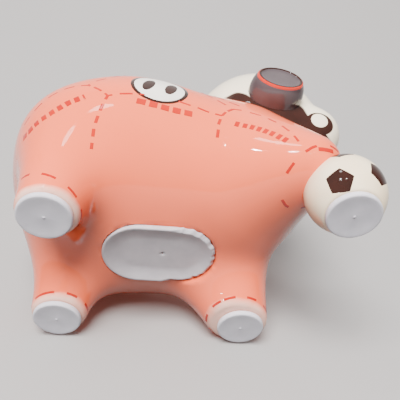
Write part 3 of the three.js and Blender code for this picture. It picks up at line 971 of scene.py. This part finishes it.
def paint_lines(name, lines, paint, slot, skin, **given):
    """Runs the dash tree on (points, dash, gap, first dash, width) lines and keeps a plain mesh."""
    points, edges = [], []
    stored = {"dash": [], "gap": [], "start": [], "width": []}
    for line, dash, gap, first, width in lines:
        start, count = len(points), len(line)
        points += [tuple(p) for p in line]
        edges += [(start + k, start + k + 1) for k in range(count - 1)]
        if np.linalg.norm(line[0] - line[-1]) < 2:
            edges.append((start + count - 1, start))
        for key, value in zip(stored, (dash, gap, dash - first, width)):
            stored[key] += [value * MM] * count
    mesh = bpy.data.meshes.new(name + "_line")
    mesh.from_pydata(placed(points).tolist(), edges, [])
    for key, values in stored.items():
        mesh.attributes.new(key, "FLOAT", "POINT").data.foreach_set("value", values)
    holder = bpy.data.objects.new(name + "_holder", mesh)
    bpy.context.scene.collection.objects.link(holder)
    modifier = holder.modifiers.new("dashes", "NODES")
    modifier.node_group = DASHES
    ids = {item.name: item.identifier for item in DASHES.interface.items_tree if item.in_out == "INPUT"}
    for title, value in {"Skin": skin, "Paint": paint, **given}.items():
        modifier[ids[title]] = value
    bpy.context.view_layer.update()
    result = bpy.data.meshes.new_from_object(holder.evaluated_get(bpy.context.evaluated_depsgraph_get()))
    holder.modifiers.clear()
    bpy.data.objects.remove(holder)
    piece = bpy.data.objects.new(name, result)
    bpy.context.scene.collection.objects.link(piece)
    result.polygons.foreach_set("use_smooth", [True] * len(result.polygons))
    tidy_normals(piece)
    declare(piece, slot)
    print(name, len(result.polygons), "faces")
    return piece


paint_lines("chart_lines", chart_lines, RED_GLAZE, "pink_glaze", torso)
paint_lines("ankle_rings", ring_lines, RED_GLAZE, "pink_glaze", torso)
stripe = settle(torso_rule, np.linspace(v(106.2, -57.4, 23.4), v(112.8, -56.0, 24.3), 18))
paint_lines("kick_stripe", [(stripe, 9.0, 1.0, 9.0, 1.9)], RED_GLAZE, "pink_glaze", torso)
paint_lines("word_blocks", word_lines, RED_GLAZE, "pink_glaze", torso, **{"Thickness share": 0.04})

# %% [markdown]
# ## Roundel
#
# A white disc with a black ring and two bold black ovals, brushed high on the right flank. It is a
# thin film: a flat disc of rings and spokes is laid against the flank and every point slides onto
# the skin.

# %% roundel
def film(name, middle, outline, paint, lift, rings=12):
    """A thin closed film of paint; outline(turn) gives its edge in mm along x and up the flank."""
    sides = 96
    up = slope(torso_rule, middle[None])[0]
    up /= np.linalg.norm(up)
    along = v(1, 0, 0) - up * up[0]
    along /= np.linalg.norm(along)
    rise = np.cross(up, along) * (1 if np.cross(up, along)[2] > 0 else -1)
    flat = [middle]
    for ring in range(1, rings + 1):
        for k in range(sides):
            a, b = outline(2 * math.pi * k / sides)
            flat.append(middle + (along * a + rise * b) * ring / rings)
    skin = settle(torso_rule, np.array(flat))
    out = slope(torso_rule, skin)
    out /= np.linalg.norm(out, axis=1, keepdims=True)
    edge = np.array([0] + [ring for ring in range(1, rings + 1) for _ in range(sides)]) / rings
    top = skin + out * (lift * np.sqrt(np.maximum(1 - edge ** 8, 0)))[:, None]
    under = skin - out * 0.25
    count = len(skin)
    faces = []
    for k in range(sides):
        n = (k + 1) % sides
        faces.append([0, 1 + k, 1 + n])
        faces.append([count, count + 1 + n, count + 1 + k])
        for ring in range(rings - 1):
            a = 1 + ring * sides
            quad = [a + k, a + sides + k, a + sides + n, a + n]
            faces.append(quad)
            faces.append([count + q for q in quad[::-1]])
        last = 1 + (rings - 1) * sides
        faces.append([last + k, count + last + k, count + last + n, last + n])
    piece = add_object(name, np.concatenate([top, under]), faces, paint)
    tidy_normals(piece)
    declare(piece, "pink_glaze")


def round_outline(radius_x, radius_y, lean=0.0):
    def outline(turn):
        a, b = radius_x * math.cos(turn), radius_y * math.sin(turn)
        return a * math.cos(lean) - b * math.sin(lean), a * math.sin(lean) + b * math.cos(lean)
    return outline


ROUNDEL_MID = on_flank(40.0, 0.8)
film("roundel_ring", ROUNDEL_MID, round_outline(13.4, 13.4), BLACK_GLAZE, 0.05)
film("roundel_disc", ROUNDEL_MID, round_outline(12.4, 12.4), WHITE_PAINT, 0.09)
for name, x in (("roundel_mark_rear", 35.0), ("roundel_mark_front", 45.2)):
    film(name, on_flank(x, 0.8), round_outline(2.9, 6.6, -0.25), BLACK_GLAZE, 0.14, 6)

# %% [markdown]
# ## Camera
#
# The bank lies on its left side on a table, and the camera looks down on its belly from its right.
# In the pig's own frame that puts the camera low on its right, looking up past the pads.

# %% camera
CAMERA_PLACE = v(44.3, -154.0, -139.7)
CAMERA_AIM = v(0.08084, 0.61275, 0.78613)
CAMERA_UP = v(-0.06981, -0.78329, 0.61772)
CAMERA_RIGHT = np.cross(CAMERA_AIM, CAMERA_UP)
camera_data = bpy.data.cameras.new("camera")
camera_data.lens = 42.77
camera_data.clip_start = 0.01
camera = bpy.data.objects.new("camera", camera_data)
bpy.context.scene.collection.objects.link(camera)
axes = Matrix([[float(CAMERA_RIGHT[i]), float(CAMERA_UP[i]), float(-CAMERA_AIM[i])] for i in range(3)])
camera.matrix_world = Matrix.Translation(Vector(placed(CAMERA_PLACE))) @ axes.to_4x4()
bpy.context.scene.camera = camera

# %% [markdown]
# ## Table and light
#
# The table is a pale plane against the pig's left side, curving up behind like a sweep of paper,
# and a second pale floor lies under its feet for the standing views. Each is seen only from the
# pig's side. The floor under the feet is for the eye alone, so it doesn't shade the belly, and the
# table throws no light back on the pig, as a dark one wouldn't.

# %% stage
TABLE_NORMAL = v(0, -0.936, 0.351)
TABLE_NORMAL /= np.linalg.norm(TABLE_NORMAL)


def stage_material(name, colour):
    """Plain matt paper, clear from behind so that it never hides the pig."""
    material = bpy.data.materials.new(name)
    material.use_nodes = True
    tree = material.node_tree
    shader = tree.nodes["Principled BSDF"]
    shader.inputs["Base Color"].default_value = linear(colour)
    shader.inputs["Roughness"].default_value = 0.75
    clear = tree.nodes.new("ShaderNodeBsdfTransparent")
    behind = tree.nodes.new("ShaderNodeNewGeometry").outputs["Backfacing"]
    mixed = add_node(tree, "ShaderNodeMixShader", inputs={
        0: behind, 1: shader.outputs[0], 2: clear.outputs[0]})
    tree.links.new(mixed.outputs[0], tree.nodes["Material Output"].inputs["Surface"])
    return material


SHEET_REACH, SHEET_WIDE = 900, 1200      # half sizes of a sheet, in mm


def sheet(name, centre, normal, towards, material, bend=None, radius=1.0):
    """A wide flat sheet; beyond bend mm in the direction towards, it curves up towards its normal."""
    deep = towards - normal * (towards @ normal)
    deep /= np.linalg.norm(deep)
    side = np.cross(deep, normal)
    profile = [(-SHEET_REACH, 0.0), (SHEET_REACH, 0.0)]
    if bend is not None:
        profile = [(-SHEET_REACH, 0.0), (0, 0.0)] + arc_up(bend, radius)
    points, faces = [], []
    for along, rise in profile:
        points += [centre + side * s + deep * along + normal * rise for s in (-SHEET_WIDE, SHEET_WIDE)]
    for i in range(len(profile) - 1):
        faces.append([2 * i, 2 * i + 1, 2 * i + 3, 2 * i + 2])
    return add_object(name, points, faces, material)


def arc_up(start, radius):
    """A quarter turn from level to upright, then a straight wall."""
    angles = np.linspace(0, math.pi / 2, 40)
    turn = [(start + radius * math.sin(a), radius * (1 - math.cos(a))) for a in angles]
    return turn + [(start + radius, radius + SHEET_REACH)]


touch = float((torso_points @ -TABLE_NORMAL).max())
UNDER_PIG = v(50, 0, 0)
TABLE_PLAY, FLOOR_PLAY = 0.4, 0.3        # gap between the pig and each sheet, in mm
table = sheet("table", UNDER_PIG - TABLE_NORMAL * (touch + TABLE_PLAY), TABLE_NORMAL, CAMERA_AIM,
              stage_material("pale_table", "#a5a2a1"), 60, 420)
floor = sheet("floor", UNDER_PIG - v(0, 0, FLOOR_PLAY), v(0, 0, 1), v(0, 1, 0),
              stage_material("pale_floor", "#d3d1cf"))
table.visible_diffuse = False
floor.visible_diffuse = False
floor.visible_glossy = False
floor.visible_transmission = False
floor.visible_shadow = False
table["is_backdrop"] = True
floor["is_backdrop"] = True


# %% [markdown]
# ## Light
#
# One broad soft lamp above and behind the camera shapes the forms; it is left out of the gloss, since
# its reflection would cover half the belly. Four small lamps make the highlights instead: a panel for
# the streak on the thigh, and three spots. The room is brighter towards the window, and brighter
# again on the far side, so that the flank against the table isn't black in the standing views.

# %% lights
PIG_MIDDLE = v(50, 0, 60) * MM
KEY_DISTANCE = 1.2


def area_light(name, right, up, back, size, energy, colour=(1, 1, 1)):
    """A round soft lamp placed from the camera's point of view, in metres from the pig's middle."""
    place = PIG_MIDDLE + CAMERA_RIGHT * right + CAMERA_UP * up - CAMERA_AIM * back
    data = bpy.data.lights.new(name, "AREA")
    data.energy = energy
    data.color = colour
    data.shape = "DISK"
    data.size = size
    lamp = bpy.data.objects.new(name, data)
    bpy.context.scene.collection.objects.link(lamp)
    lamp.location = Vector(place + ORIGIN * MM)
    lamp.rotation_mode = "QUATERNION"
    lamp.rotation_quaternion = Vector(PIG_MIDDLE - place).to_track_quat("-Z", "Y")
    return lamp


KEY = (-0.05, 0.60, 0.80)
key = area_light("soft_key", *(KEY_DISTANCE * k for k in KEY), 0.7, 50, (1.0, 0.98, 0.96))
key.visible_glossy = False
area_light("ceiling_panel", -0.145, 0.765, 0.34, 0.09, 0.3)
area_light("spot_left", -0.26, 0.60, 0.62, 0.025, 0.5)
area_light("spot_right", -0.05, 0.60, 0.68, 0.025, 0.5)
area_light("lamp_behind_camera", -0.45, 0.05, 0.92, 0.03, 0.5)

world = bpy.data.worlds.new("studio")
bpy.context.scene.world = world
world.use_nodes = True
room = world.node_tree
toward = room.nodes.new("ShaderNodeTexCoord").outputs["Generated"]


def glow(direction, low, high, weakest, strongest):
    """Room light that rises smoothly towards one direction."""
    direction = direction / np.linalg.norm(direction)
    level = add_node(room, "ShaderNodeVectorMath", {"operation": "DOT_PRODUCT"}, {
        0: toward, 1: tuple(direction)})
    return add_node(room, "ShaderNodeMapRange", {"interpolation_type": "SMOOTHSTEP"}, {
        "Value": level.outputs["Value"], "From Min": low, "From Max": high, "To Min": weakest,
        "To Max": strongest}).outputs[0]


window_side = glow(-0.12 * CAMERA_RIGHT + 0.75 * CAMERA_UP - 0.65 * CAMERA_AIM, -0.3, 0.8, 0.04, 0.6)
far_side = glow(CAMERA_AIM, 0.2, 0.9, 0.0, 3.2)
strength = maths(room, "ADD", window_side, far_side)
room.nodes["Background"].inputs["Color"].default_value = (0.97, 0.98, 1.0, 1)
room.links.new(strength, room.nodes["Background"].inputs["Strength"])

# %% [markdown]
# ## Sizes
#
# The box of the frame and the box of the finished look are written side by side.

# %% write the two boxes and finish
looks_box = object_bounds()
for title, box in (("CAD box", CAD_BOX), ("visual box", looks_box)):
    print(title, [[round(x, 4) for x in corner] for corner in box])
